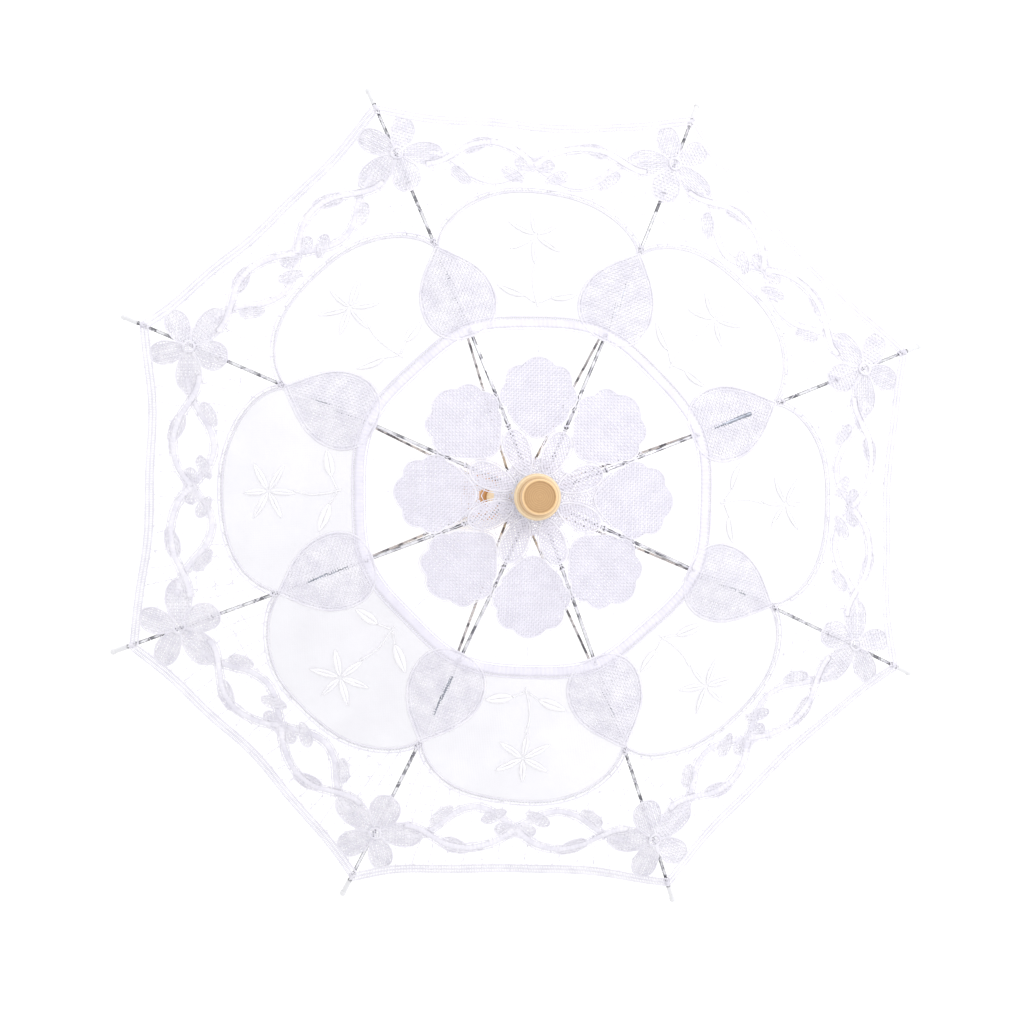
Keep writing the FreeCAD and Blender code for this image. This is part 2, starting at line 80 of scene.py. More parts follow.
# The pattern's main lines, by distance from the axis. Hem corners and teardrop tips are on the ribs.
HEM_CORNER = 191.2
HEM_MIDDLE = 171.5
RING_RIB = 78.5
RING_MIDDLE = 76.6
RING_WIDTH = 6.4
TEAR_TIP = 119.3
SCALLOP_MIDDLE = 138.0

# The lawn's grid of points, before it is cut to shape, and the smallest triangle it keeps.
LAWN_REACH = (60, 150)
LAWN_HALF = 62
LAWN_SPACING = 2.0
LEAST_AREA = 0.01

# The ribs with close lace beside them by the finial: on which side, and its hole's radius.
WEBS = {1: (-1, 0.0), 4: (1, 3.4), 5: (-1, 3.4), 8: (1, 0.0)}

# Thread ties round the ribs: distance from the axis, turns and length. The last is a whipping.
TIES = ((33.0, 2, 0.9), (77.0, 3, 1.4), (121.0, 2, 0.9), (150.0, 2, 0.9), (187.6, 5, 2.4))
TIE_RADIUS = 0.24
TIE_STEPS = 14
TIE_SIDES = 5
TIE_LIFT = 0.45
TIE_HALF_HEIGHT = 1.55
TIE_HALF_WIDTH = 1.2

# The collar's height and the radii of its cords, and its frill's radius and rows: drop and growth.
COLLAR_HEIGHT = 305.5
COLLAR_CORDS = (4.6, 6.2, 7.8, 9.3)
COLLAR_STEPS = 72
FRILL_RADIUS = 10.0
FRILL_STEPS = 192
FRILL_ROWS = ((0.3, 0.0), (1.0, 0.3), (1.7, 0.5), (2.3, 0.6))

# The camera, the key light and the floor, in metres.
CAMERA_TILT = math.radians(5.1)
CAMERA_TURN = math.radians(1.8)
CAMERA_TARGET = (0, 0, 0.228)
CAMERA_DISTANCE = 1.3
CAMERA_LENS = 99.2
CAMERA_SHIFT = (-0.0086, -0.0146)
KEY_PLACE = (1.2, 1.4, 2.2)
KEY_TARGET = (0, 0, 0.2)
KEY_SIZE = 1.0
KEY_POWER = 26
SKY_STRENGTH = 1.28
FLOOR_DROP = 0.001
FLOOR_HALF = 4

CM_PER_METRE = 100

random = np.random.default_rng(11)


# ---- plan curves ----

def smooth(points, spacing):
    """A Catmull-Rom curve through the points, cut at even spacing."""
    points = np.asarray(points, float)
    first = 2 * points[0] - points[1]
    last = 2 * points[-1] - points[-2]
    points = np.vstack([first, points, last])
    s = np.linspace(0, 1, 24, endpoint=False)[:, None]
    pieces = []
    for a, b, c, d in zip(points, points[1:], points[2:], points[3:]):
        pieces.append(
            0.5 * (
                2 * b + (c - a) * s + (2 * a - 5 * b + 4 * c - d) * s**2
                + (3 * b - a - 3 * c + d) * s**3
            )
        )
    return even(np.vstack(pieces + [points[-2:-1]]), spacing)


def even(curve, spacing, closed=False):
    """The same curve cut at even spacing."""
    curve = np.asarray(curve, float)
    if closed:
        curve = np.vstack([curve, curve[:1]])
    steps = np.linalg.norm(np.diff(curve, axis=0), axis=1)
    length = np.concatenate([[0], np.cumsum(steps)])
    count = max(int(round(length[-1] / spacing)), 2)
    at = np.linspace(0, length[-1], count + 1)
    if closed:
        at = at[:-1]
    return np.stack([np.interp(at, length, curve[:, 0]), np.interp(at, length, curve[:, 1])], 1)


def sideways(path, closed):
    """The unit left normal at each point of a path."""
    if closed:
        ahead = np.roll(path, -1, 0) - np.roll(path, 1, 0)
    else:
        ahead = np.gradient(path, axis=0)
    ahead = ahead / np.maximum(np.linalg.norm(ahead, axis=1), 1e-9)[:, None]
    return np.stack([-ahead[:, 1], ahead[:, 0]], 1)


def beside(path, distance, closed=False):
    """The path moved to its left by a distance, which may change along it."""
    return path + sideways(path, closed) * np.broadcast_to(distance, len(path))[:, None]


def polar(radius, angle):
    """Plan points at a distance from the axis and an angle from +X."""
    return np.stack([radius * np.cos(angle), radius * np.sin(angle)], 1)


def turn(points, angle):
    """The points turned about the axis."""
    c, s = math.cos(angle), math.sin(angle)
    x, y = points[:, 0], points[:, 1]
    return np.stack([x * c - y * s, x * s + y * c], 1)


def both_gores(points):
    """A plan curve drawn along the middle of a gore, laid in the gore on each side of the rib."""
    return [turn(np.asarray(points, float), side * HALF_GORE) for side in (-1, 1)]


def crossings(outline, level):
    """Where the line y = level crosses a closed outline, as sorted x."""
    after = np.roll(outline, -1, 0)
    hit = (outline[:, 1] > level) != (after[:, 1] > level)
    a, b = outline[hit], after[hit]
    return np.sort(a[:, 0] + (level - a[:, 1]) / (b[:, 1] - a[:, 1]) * (b[:, 0] - a[:, 0]))


def inside(points, outline):
    """Which points are inside a closed outline."""
    result = np.zeros(len(points), bool)
    after = np.roll(outline, -1, 0)
    for a, b in zip(outline, after):
        if a[1] == b[1]:
            continue
        between = (points[:, 1] < a[1]) != (points[:, 1] < b[1])
        reach = a[0] + (points[:, 1] - a[1]) / (b[1] - a[1]) * (b[0] - a[0])
        result ^= between & (points[:, 0] < reach)
    return result


# ---- thread builders ----

class Work:
    """Threads of one kind, gathered as points, four-cornered faces and (along, across) marks."""

    def __init__(self):
        self.points = []
        self.faces = []
        self.marks = []
        self.count = 0

    def add(self, points, faces, marks):
        self.points.append(points)
        self.faces.append(faces + self.count)
        self.marks.append(marks)
        self.count += len(points)

    def arrays(self):
        return np.vstack(self.points), np.vstack(self.faces), np.vstack(self.marks)


def tube_faces(rings, sides, closed=False):
    """The faces that join each ring of points to the next, and the last to the first if closed."""
    near = np.arange(rings if closed else rings - 1)[:, None]
    far = (near + 1) % rings
    here = np.arange(sides)
    beyond = (here + 1) % sides
    corners = [near * sides + here, far * sides + here, far * sides + beyond, near * sides + beyond]
    return np.stack(corners, 2).reshape(-1, 4)


def tube_marks(along, sides):
    """The marks of a tube's points, from how far along each ring is."""
    across = np.arange(sides) / sides
    return np.stack(np.broadcast_arrays(along[:, None], across[None, :]), 2).reshape(-1, 2)


def strand(work, path, height, wide, thick=None, sides=4, closed=False):
    """A thread along a plan path. Wide and thick are half its width and height, and may change along it."""
    path = np.asarray(path, float)
    count = len(path)
    if count < 2:
        return
    height = np.broadcast_to(height, count)
    wide = np.broadcast_to(wide, count)
    thick = wide if thick is None else np.broadcast_to(thick, count)
    left = sideways(path, closed)
    around = (np.arange(sides) + 0.5) * FULL_TURN / sides
    out = wide[:, None] * np.cos(around)
    plan = path[:, None, :] + left[:, None, :] * out[..., None]
    rise = height[:, None] + thick[:, None] * np.sin(around)
    points = np.concatenate([plan, rise[..., None]], 2).reshape(-1, 3)
    faces = tube_faces(count, sides, closed)
    if not closed:
        starts = np.arange(1, sides - 2, 2)
        near = np.stack([np.zeros_like(starts), starts, starts + 1, starts + 2], 1)
        far = near[:, ::-1] + (count - 1) * sides
        faces = np.vstack([faces, near, far])
    along = np.concatenate([[0], np.cumsum(np.linalg.norm(np.diff(path, axis=0), axis=1))])
    work.add(points, faces, tube_marks(along / MARK_LENGTH, sides))


def zigzag(work, path, near, far, pitch, radius, height, closed=False):
    """A thread that steps along a path as rungs, to and fro between two offsets of it."""
    path = even(path, pitch / 2, closed)
    count = len(path) // 2 * 2
    path = path[:count] if closed else path
    rung = np.arange(len(path)) % 2
    swing = np.stack([np.where(rung, far, near), np.where(rung, near, far)], 1).ravel()
    left = np.repeat(sideways(path, closed), 2, axis=0)
    strand(work, np.repeat(path, 2, axis=0) + left * swing[:, None], height, radius, closed=closed)


def ladder(work, path, width, pitch, lift):
    """An openwork tape: close cross stitches between two edge cords, with a cord down the middle."""
    path = even(path, pitch / 4)
    beat = np.cos(np.arange(len(path)) * FULL_TURN / 4)
    edge = width / 2 - 0.35
    for side in (-1, 0, 1):
        cord = beside(path, side * edge)
        strand(work, cord, height=lift + 0.12, wide=0.42 + 0.12 * beat, thick=0.28, sides=5)
    for side in (-1, 1):
        zigzag(work, path, -side * edge, side * edge, pitch, radius=0.3, height=lift + 0.08 * side)


def tape(work, path, width, dense, pitch, lift):
    """A woven tape: a ribbed middle, a cord on each edge and ladder stitches between them."""
    path = even(path, pitch / 4)
    beat = np.cos(np.arange(len(path)) * FULL_TURN / 4)
    middle = width * dense / 2
    edge = width / 2 - 0.28
    strand(work, path, lift, wide=middle * (1 + 0.05 * beat), thick=0.24 + 0.15 * beat, sides=8)
    for side in (-1, 1):
        cord = beside(path, side * edge)
        strand(work, cord, height=lift + 0.06, wide=0.3 + 0.06 * beat, thick=0.3, sides=5)
        zigzag(work, path, side * middle * 0.9, side * edge, pitch, radius=0.17, height=lift)


def double_cord(work, path, width, lift):
    """Two cords side by side over a thin bed of ladder stitches."""
    path = even(path, spacing=0.7)
    beat = 0.05 * np.cos(np.arange(len(path)) * FULL_TURN / 2.5)
    for side in (-1, 1):
        cord = beside(path, side * (width / 2 - 0.33))
        strand(work, cord, height=lift + 0.1, wide=0.36 + beat, thick=0.34, sides=6)
    zigzag(work, path, near=-width / 2 + 0.4, far=width / 2 - 0.4, pitch=1.3, radius=0.2, height=lift)


def weave(work, outline, angle, pitch, wide, thin, amplitude=0.16, cross_pitch=None, lift=0.0):
    """Threads over and under each other inside an outline."""
    pitches = (pitch, cross_pitch or pitch)
    for way in (0, 1):
        facing = angle + way * math.pi / 2
        flat = turn(outline, -facing)
        step, other = pitches[way], pitches[1 - way]
        low, high = flat[:, 1].min(), flat[:, 1].max()
        for row in range(math.ceil(low / step), math.floor(high / step) + 1):
            level = row * step + random.uniform(-0.12, 0.12) * step
            ends = crossings(flat, level)
            for start, end in zip(ends[0::2], ends[1::2]):
                if end - start < 0.6 * other:
                    continue
                columns = np.arange(math.ceil(start / other), math.floor(end / other) + 1)
                x = np.concatenate([[start], columns * other, [end]])
                over = np.where((columns + row + way) % 2, amplitude, -amplitude)
                rise = lift + np.concatenate([[0], over, [0]])
                y = level + random.normal(0, 0.03, len(x)) * step
                wobble = wide * random.uniform(0.85, 1.12)
                strand(work, turn(np.stack([x, y], 1), facing), rise, wobble, thin)


def leaf(work, base, angle, length, width):
    """A raised satin-stitch leaf, in two halves with a groove between."""
    steps = np.linspace(0, 1, max(int(length / 0.42), 8))
    swell = np.sin(np.pi * steps**0.85) ** 0.75
    ridges = 1 + 0.16 * np.cos(np.arange(len(steps)) * math.pi)
    half = width / 4
    for side in (-1, 1):
        bow = side * half * 0.92 * swell
        path = np.stack([length * steps, bow], 1)
        path = turn(path, angle) + np.asarray(base, float)
        thick = 0.5 * ridges * (0.35 + 0.65 * swell)
        strand(work, path, height=0.35, wide=np.maximum(half * swell, 0.12), thick=thick, sides=6)


def bar(work, start, end, radius=0.17, sag=0.0):
    """A twisted thread bar between two points, bowed sideways by sag, with small knots where it is tied."""
    start, end = np.asarray(start, float), np.asarray(end, float)
    length = float(np.linalg.norm(end - start))
    steps = np.linspace(0, 1, max(int(length / 1.1), 3))
    path = start + (end - start) * steps[:, None]
    if length > 0:
        left = np.array([-(end - start)[1], (end - start)[0]]) / length
        path = path + left * (sag * np.sin(np.pi * steps))[:, None]
    twist = radius * (1 + 0.25 * np.cos(np.arange(len(steps)) * math.pi))
    twist[[0, -1]] = radius * 1.9
    strand(work, path, height=0.0, wide=twist)


# ---- the pattern ----

def ring_radius(angle):
    """The ring tape's radius, at an angle from the rib."""
    middle = (RING_RIB + RING_MIDDLE) / 2
    return middle + (RING_RIB - RING_MIDDLE) / 2 * np.cos(RIBS * angle)


def hem_curve(inset, spacing=1.0):
    """The hem's line across one wedge, inset from the edge. It is hollow between the ribs."""
    across = np.linspace(-1.02, 1.02, 161)
    angle = across * HALF_GORE
    corner_gore = HEM_CORNER * math.cos(HALF_GORE)
    share = 1 - np.abs(across)
    tangent = np.tan(HALF_GORE * share) / math.tan(HALF_GORE)
    along = HEM_MIDDLE + (corner_gore - HEM_MIDDLE) * tangent**2 - inset
    radius = along / np.cos(HALF_GORE * share)
    return even(polar(radius, angle), spacing)


def petal_outline():
    """One petal of the rosette, along the middle of a gore, with five lobes on its outer edge."""
    cusps = [(38.5, 14.0), (49.2, 14.5), (57.6, 7.4), (57.6, -7.4), (49.2, -14.5), (38.5, -14.0)]
    edge = []
    for a, b in zip(cusps, cusps[1:]):
        a, b = np.array(a), np.array(b)
        s = np.linspace(0, 1, 10, endpoint=False)[:, None]
        out = np.array([b[1] - a[1], a[0] - b[0]])
        out = -out / np.linalg.norm(out)
        edge.append(a + (b - a) * s + out * np.linalg.norm(b - a) * 0.27 * np.sin(np.pi * s) ** 0.75)
    inner = smooth([(38.5, -14.0), (35.2, -12.8), (31.0, -8.6), (27.4, -4.6), (25.6, 0.0),
                    (27.4, 4.6), (31.0, 8.6), (35.2, 12.8), (38.5, 14.0)], spacing=1.0)
    return even(np.vstack(edge + [inner[:-1]]), spacing=0.8, closed=True)


def tear_outline(inset=0.0):
    """The teardrop on a rib, from its point round its blunt inner end and back to its point."""
    half = [(TEAR_TIP, 0.0), (113.6, 5.6), (107.3, 11.2), (100.2, 15.2), (92.5, 16.7), (85.0, 15.6),
            (79.2, 11.6), (76.2, 6.0), (75.5, 0.0)]
    whole = half + [(x, -y) for x, y in reversed(half[:-1])]
    return beside(smooth(whole, spacing=0.9), inset)


def scallop_curve():
    """The arc round a gore's lawn, in gore coordinates, from one teardrop's point to the next."""
    low = TEAR_TIP * math.cos(HALF_GORE)
    wide = TEAR_TIP * math.sin(HALF_GORE)
    t = np.sin(np.linspace(-1, 1, 121) * math.pi / 2)
    g = low + (SCALLOP_MIDDLE - low) * (1 - np.abs(t) ** 2.2) ** 0.6
    return even(np.stack([g, t * wide], 1), spacing=0.8)


def scallop_edge():
    """The lawn's outer edge across one wedge, from the middle of one gore to the middle of the other."""
    slope = math.tan(HALF_GORE)
    upper = turn(scallop_curve(), HALF_GORE)
    upper = upper[upper[:, 1] < slope * upper[:, 0] - 0.3]
    upper = upper[np.argsort(-np.arctan2(upper[:, 1], upper[:, 0]))]
    tip = SCALLOP_MIDDLE * np.array([[math.cos(HALF_GORE), math.sin(HALF_GORE)]])
    half = np.vstack([tip, upper])
    return np.vstack([half, half[-2::-1] * (1, -1)])


def oval(start, angle, length, width, spacing=0.8):
    """A closed oval that starts at a point and runs along an angle."""
    s = np.linspace(0, FULL_TURN, 40, endpoint=False)
    x = length / 2 * (1 - np.cos(s))
    y = width / 2 * np.sin(s) * (1 + 0.18 * -np.cos(s))
    return even(turn(np.stack([x, y], 1), angle) + start, spacing, closed=True)


# The border's two wavy tapes, on one side of a gore's middle.
UPPER_TAPE = [(150.5, 0.0), (146.2, 6.0), (142.4, 12.0), (140.9, 19.0), (143.2, 27.0), (148.2, 34.0),
              (152.6, 41.0), (154.4, 49.0)]
LOWER_TAPE = [(150.5, 0.0), (155.4, 6.0), (158.6, 13.0), (159.7, 21.0), (157.8, 30.0), (153.6, 37.0),
              (149.6, 44.0), (148.2, 50.0)]

# The petals of a corner flower: direction in degrees, length and width.
FLOWER_PETALS = (
    (180, 17.0, 13.0), (112, 19.5, 12.2), (38, 16.5, 10.8), (-38, 16.5, 10.8), (-112, 19.5, 12.2),
)

# Thread bars from each petal of the rosette to the ring tape, the next petal and the loops.
ROSETTE_BARS = (
    ((63.5, 0), (71.8, 0)), ((61.5, 9.5), (70.6, 14.5)), ((61.5, -9.5), (70.6, -14.5)),
    ((42.0, 15.6), (43.5, 18.1)), ((42.0, -15.6), (43.5, -18.1)),
    ((29.0, 2.5), (20.5, 3.6)), ((29.0, -2.5), (20.5, -3.6)),
    ((32.5, 10.4), (29.5, 12.2)), ((32.5, -10.4), (29.5, -12.2)),
)

# The outline of the close lace on one side of a gore's middle, and the middle of its hole.
WEB_EDGE = (
    (16.4, 0.0), (16.2, 2.4), (18.4, 5.6), (23.0, 7.6), (28.6, 8.8), (36.0, 13.6), (31.0, 8.6),
    (27.4, 4.6), (25.6, 0.0),
)
WEB_CENTRE = 21.4

# The thread bars of the border, from end to end, on one side of a gore's middle.
BORDER_BARS = (
    ((161.9, 21.0), (165.9, 21.6)), ((161.0, 29.0), (166.6, 29.6)), ((158.0, 36.0), (167.6, 37.4)),
    ((155.0, 41.5), (168.6, 45.0)), ((158.0, 6.0), (165.0, 5.6)), ((137.6, 5.5), (144.0, 5.5)),
    ((135.0, 25.4), (140.6, 26.0)), ((131.5, 30.4), (144.4, 31.6)), ((127.4, 35.4), (149.6, 38.4)),
    ((122.6, 40.0), (147.0, 46.4)), ((118.8, 42.8), (139.8, 49.6)), ((140.0, 31.0), (137.0, 46.0)),
    ((131.0, 35.0), (129.0, 49.0)), ((146.0, 37.5), (145.0, 47.0)),
)

# The leaves between the border's tapes: centre, length, width and lean in degrees.
BORDER_LEAVES = (
    ((151.5, 3.0), 12.0, 6.6, 96), ((145.0, 9.4), 11.5, 5.6, 62),
    ((158.6, 26.0), 14.5, 6.6, 112), ((143.6, 33.0), 12.0, 5.6, 52),
)

# The petals of an embroidered star: direction in degrees, length and width.
SPRAY_PETALS = (
    (5, 10.5, 3.0), (62, 12.5, 3.4), (118, 12.0, 3.2), (176, 11.0, 3.0), (238, 12.0, 3.3), (300, 12.5, 3.4),
)


def make_rosette(fill, cords, brides):
    """The woven petals, with a cord on their edge and one outside it, and the bars that hold them."""
    outline = petal_outline()
    for angle, edge in zip((-HALF_GORE, HALF_GORE), both_gores(outline)):
        weave(fill, edge, angle, pitch=1.05, wide=0.6, thin=0.2, amplitude=0.18)
        beat = 0.05 * np.cos(np.arange(len(edge)) * math.pi)
        strand(cords, edge, height=0.12, wide=0.42 + beat, thick=0.26, sides=6, closed=True)
        outer = beside(edge, distance=0.95, closed=True)
        strand(cords, outer, height=0.05, wide=0.2, thick=0.16, sides=5, closed=True)
    for a, b in ROSETTE_BARS:
        for start, end in zip(both_gores([a]), both_gores([b])):
            bar(brides, start[0], end[0], sag=random.uniform(-0.5, 0.5))


def make_star(fill, cords, brides):
    """The long loop on each rib by the finial, over a band of close weave, and the bars that hold it."""
    loop = oval(np.array([10.4, 0.0]), angle=0.0, length=20.6, width=10.6, spacing=0.55)
    beat = np.cos(np.arange(len(loop)) * math.pi)
    strand(cords, loop, height=0.12, wide=0.5 + 0.1 * beat, thick=0.24, sides=6, closed=True)
    outer = beside(loop, distance=1.05, closed=True)
    strand(cords, outer, height=0.05, wide=0.24 + 0.06 * beat, thick=0.18, sides=5, closed=True)
    weave(fill, loop, angle=0.6, pitch=1.2, wide=0.52, thin=0.18)
    turns = np.linspace(-1.04, 1.04, 24) * HALF_GORE
    rims = [polar(radius, turns) for radius in (10.4, 17.0)]
    weave(fill, np.vstack([rims[0], rims[1][::-1]]), angle=0.9, pitch=1.15, wide=0.5, thin=0.16, lift=-0.1)
    for side in (-1, 1):
        bar(brides, (21.5, side * 5.2), (21.8, side * 9.0))
        bar(brides, (25.5, side * 4.4), (28.5, side * 9.6), sag=0.4)
    bar(brides, (31.0, 0.0), (39.5, 0.0))
    for side in (-1, 1):
        bar(brides, (39.5, 0.0), (45.0, side * 3.2))
        bar(brides, (52.0, 0.0), (48.5, side * 4.9))
    bar(brides, (52.0, 0.0), (75.5, 0.0), sag=0.3)


def make_web(fill, side, hole):
    """Close needle lace beside the loop, on one side of the rib, round half of a round hole."""
    centre = np.array([WEB_CENTRE, 0.0])
    steps = np.linspace(0, math.pi, 24)[::-1]
    rim = centre + hole * np.stack([-np.cos(steps), np.sin(steps)], 1)
    outline = turn(np.vstack([WEB_EDGE, rim]) * (1, -side), side * HALF_GORE)
    weave(fill, outline, angle=0.3, pitch=1.15, wide=0.5, thin=0.16, lift=-0.05)


def make_ring(fill):
    """The ring tape, between the rosette and the lawn."""
    angle = np.linspace(-1.03, 1.03, 80) * HALF_GORE
    radius = ring_radius(angle)
    path = polar(radius, angle)
    tape(fill, path, RING_WIDTH, dense=0.68, pitch=1.9, lift=0.15)


def make_teardrop(cords):
    """The woven teardrop on each rib, with a cord on its edge and two inside it."""
    outline = tear_outline()
    weave(cords, outline, angle=0.12, pitch=1.15, wide=0.64, thin=0.2, cross_pitch=1.05)
    strand(cords, outline, height=0.2, wide=0.5, thick=0.34, sides=6)
    strand(cords, beside(outline, distance=1.35), height=0.15, wide=0.34, thick=0.24, sides=5)
    strand(cords, beside(outline, distance=2.3), height=0.1, wide=0.24, thick=0.18, sides=5)
    zigzag(cords, outline, near=0.2, far=2.2, pitch=1.2, radius=0.16, height=0.08)


def make_scallops(cords):
    """The double cord round the lawn's outer edge."""
    for edge in both_gores(scallop_curve()):
        double_cord(cords, edge, width=2.7, lift=0.12)


def make_flower(cords):
    """The woven flower on each rib, near its ferrule."""
    heart = np.array([166.0, 0.0])
    for way, length, width in FLOWER_PETALS:
        angle = math.radians(way)
        start = heart + 2.2 * np.array([math.cos(angle), math.sin(angle)])
        edge = oval(start, angle, length, width)
        strand(cords, edge, height=0.2, wide=0.42, thick=0.28, sides=6, closed=True)
        weave(cords, edge, angle, pitch=0.95, wide=0.56, thin=0.2, cross_pitch=1.5, lift=0.05)
    ball = oval(heart - np.array([2.6, 0]), angle=0.0, length=5.2, width=5.2, spacing=0.6)
    strand(cords, ball, height=0.35, wide=0.6, thick=0.45, sides=6, closed=True)
    weave(cords, ball, angle=0.4, pitch=1.0, wide=0.36, thin=0.2, lift=0.2)


def make_border(tapes, brides):
    """Two wavy tapes that meet in the middle of each gore, with thread bars to the scallops and the hem."""
    for way in (-1, 1):
        for line in (UPPER_TAPE, LOWER_TAPE):
            for side in (-1, 1):
                half = np.array([(g, side * t) for g, t in line])
                path = turn(smooth(half, spacing=0.8), way * HALF_GORE)
                lift = 0.05 if line is UPPER_TAPE else 0.3
                tape(tapes, path, width=4.5, dense=0.62, pitch=1.8, lift=lift)
    for way in (-1, 1):
        for side in (1, -1):
            ends = turn(np.array([(161.8, side * 14.0), (165.6, side * 13.4)]), way * HALF_GORE)
            bar(brides, ends[0], ends[1])
    for first, second in BORDER_BARS:
        for side in (-1, 1):
            a = [(first[0], side * first[1])]
            b = [(second[0], side * second[1])]
            for start, end in zip(both_gores(a), both_gores(b)):
                bar(brides, start[0], end[0], radius=0.24, sag=random.uniform(-0.6, 0.6))


def make_leaves(cords):
    """Needle-lace leaves between the border's tapes."""
    for centre, length, width, lean in BORDER_LEAVES:
        for side in (-1, 1):
            angle = side * math.radians(lean)
            start = np.array([centre[0], side * centre[1]])
            start = start - length / 2 * np.array([math.cos(angle), math.sin(angle)])
            for way in (-1, 1):
                edge = turn(oval(start, angle, length, width), way * HALF_GORE)
                strand(cords, edge, height=0.3, wide=0.34, thick=0.24, sides=6, closed=True)
                facing = angle + way * HALF_GORE
                weave(cords, edge, facing, pitch=0.95, wide=0.5, thin=0.2, cross_pitch=1.6, lift=0.15)


def make_net(brides):
    """The fine net under the border, from the scallops to the hem."""
    outline = np.vstack([hem_curve(inset=4.0, spacing=3.0), scallop_edge()])
    weave(brides, outline, angle=0.5, pitch=4.4, wide=0.15, thin=0.13, amplitude=0.1, lift=-0.2)


def make_hem(tapes):
    """The openwork tape round the canopy's edge."""
    ladder(tapes, hem_curve(inset=2.2), width=4.2, pitch=1.5, lift=0.1)


def make_sprays(stitches):
    """The embroidered star and the two-leaf spray in the middle of each gore."""
    for way in (-1, 1):
        middle = turn(np.array([[116.0, 0.6]]), way * HALF_GORE)[0]
        for degrees, length, width in SPRAY_PETALS:
            angle = math.radians(degrees) + way * HALF_GORE
            start = middle + 1.0 * np.array([math.cos(angle), math.sin(angle)])
            leaf(stitches, start, angle, length, width)
        stem = smooth([(104.5, 0.5), (98.0, 1.8), (91.0, 1.2), (84.0, -0.4)], spacing=0.9)
        stem = turn(stem, way * HALF_GORE)
        strand(stitches, stem, height=0.3, wide=0.32, thick=0.3)
        for side, reach, lean in ((1, 13.0, 56), (-1, 11.5, 66)):
            base = turn(np.array([[86.0, side * 0.8]]), way * HALF_GORE)[0]
            out = math.radians(side * lean) + way * HALF_GORE
            stalk = np.array([base, base + 6.0 * np.array([math.cos(out), math.sin(out)])])
            strand(stitches, even(stalk, spacing=0.9), height=0.3, wide=0.3, thick=0.28)
            leaf(stitches, stalk[1], out + math.radians(side * 14), reach, width=4.8)


# ---- from plan to cloth ----

WAVES = [
    (random.uniform(0.03, 0.1) * FULL_TURN / 4, random.uniform(0, FULL_TURN), random.uniform(0, FULL_TURN))
    for _ in range(3 * RIPPLE_WAVES)
]


def ripple(x, y, first):
    """A smooth uneven field over the whole canopy, about -1 to 1."""
    total = np.zeros_like(x)
    for rate, way, phase in WAVES[first:first + RIPPLE_WAVES]:
        total += np.sin((x * math.cos(way) + y * math.sin(way)) * rate + phase)
    return total / 3


def arc_height(reach, lift):
    """The height of the ribs' arc, moved out by lift, at a distance from the axis."""
    return BEND_Z + np.sqrt((BEND_RADIUS + lift) ** 2 - (reach - BEND_X) ** 2)


def drape(points, angle):
    """Plan points of a wedge, laid on the cloth over the rib at that angle, in metres."""
    x, y = points[:, 0], points[:, 1]
    far_x, far_y = turn(points, angle).T
    loose = np.clip(np.hypot(x, y) / SAG_REACH, 0, 1)
    shift_x = PLAN_RIPPLE * loose * ripple(far_x, far_y, 0)
    shift_y = PLAN_RIPPLE * loose * ripple(far_x, far_y, RIPPLE_WAVES)
    gore = x * math.cos(HALF_GORE) + np.abs(y) * math.sin(HALF_GORE)
    from_middle = np.abs(x * math.sin(HALF_GORE) - np.abs(y) * math.cos(HALF_GORE))
    to_rib = np.clip(from_middle / np.maximum(gore * math.tan(HALF_GORE), 1e-6), 0, 1)
    free = 1 - to_rib**2
    reach = gore / math.cos(HALF_GORE)
    sag = SAG + SAG_RIPPLE * ripple(far_x, far_y, 2 * RIPPLE_WAVES)
    rise = arc_height(reach, CLOTH_LIFT) - free * loose * sag
    return np.stack([far_x + shift_x, far_y + shift_y, rise + points[:, 2]], 1) * MM


def mesh_of(name, points, faces, marks=None):
    """A mesh from arrays of points and of faces that all have the same number of corners."""
    mesh = bpy.data.meshes.new(name)
    corners = faces.shape[1]
    mesh.vertices.add(len(points))
    mesh.vertices.foreach_set("co", points.astype(np.float32).ravel())
    mesh.loops.add(faces.size)
    mesh.loops.foreach_set("vertex_index", faces.astype(np.int32).ravel())
    mesh.polygons.add(len(faces))
    mesh.polygons.foreach_set("loop_start", np.arange(0, faces.size, corners, dtype=np.int32))
    mesh.polygons.foreach_set("use_smooth", np.ones(len(faces), bool))
    mesh.update(calc_edges=True)
    if marks is not None:
        layer = mesh.uv_layers.new(name="thread")
        layer.data.foreach_set("uv", marks[faces.ravel()].astype(np.float32).ravel())
    mesh.validate()
    return mesh


def trimmed(mesh):
    """Cuts a plan mesh at the middles of the gores on both sides of the rib."""
    work = bmesh.new()
    work.from_mesh(mesh)
    for side in (-1, 1):
        out = Vector((-math.sin(HALF_GORE), side * math.cos(HALF_GORE), 0))
        everything = list(work.verts) + list(work.edges) + list(work.faces)
        bmesh.ops.bisect_plane(
            work, geom=everything, dist=1e-5, plane_co=(0, 0, 0), plane_no=out, clear_outer=True,
        )
    work.to_mesh(mesh)
    work.free()
    return mesh


def plan_points(mesh):
    """A mesh's points as an array."""
    flat = np.zeros(len(mesh.vertices) * 3, np.float32)
    mesh.vertices.foreach_get("co", flat)
    return flat.reshape(-1, 3).astype(float)


